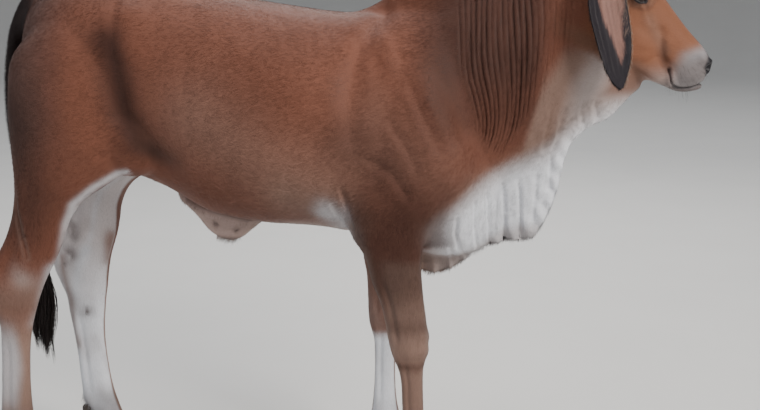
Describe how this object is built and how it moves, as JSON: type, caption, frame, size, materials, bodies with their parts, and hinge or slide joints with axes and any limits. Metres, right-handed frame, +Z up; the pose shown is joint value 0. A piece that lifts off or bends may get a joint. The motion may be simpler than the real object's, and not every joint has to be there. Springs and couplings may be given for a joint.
{
  "type": "brahman cattle",
  "caption": "Standing young brahman cattle with hump, long drooping ears, short horns, folded dewlap and tail switch, as a still life-size model.",
  "frame": {"origin": "the middle of the bounding box, at the level of the soles", "axes": "+X towards the muzzle, +Y to the animal's left, +Z up"},
  "size_m": [1.7872, 0.5066, 1.4339],
  "materials": {
    "coat_red": "matte",
    "coat_face": "matte",
    "coat_pale": "matte",
    "coat_legs": "matte",
    "ear_skin": "matte",
    "tail_coat": "matte",
    "switch_hair": "satin",
    "eye": "gloss",
    "horn": "satin",
    "hoof": "satin"
  },
  "bodies": {
    "root": {"torso": "coat_red", "hump": "coat_red", "neck": "coat_red", "head": "coat_face", "dewlap": "coat_pale", "sheath": "coat_pale", "foreleg_right": "coat_red", "foreleg_left": "coat_red", "hindleg_right": "coat_legs", "hindleg_left": "coat_legs", "forehoof_right_inner": "hoof", "forehoof_right_outer": "hoof", "forehoof_left_inner": "hoof", "forehoof_left_outer": "hoof", "hindhoof_right_inner": "hoof", "hindhoof_right_outer": "hoof", "hindhoof_left_inner": "hoof", "hindhoof_left_outer": "hoof", "foredewclaw_right_inner": "hoof", "foredewclaw_right_outer": "hoof", "foredewclaw_left_inner": "hoof", "foredewclaw_left_outer": "hoof", "hinddewclaw_right_inner": "hoof", "hinddewclaw_right_outer": "hoof", "hinddewclaw_left_inner": "hoof", "hinddewclaw_left_outer": "hoof", "ear_right": "ear_skin", "ear_left": "ear_skin", "eye_right": "eye", "eye_left": "eye", "horn_right": "horn", "horn_left": "horn", "tail": "tail_coat", "tail_switch": "switch_hair"}
  },
  "joints": []
}
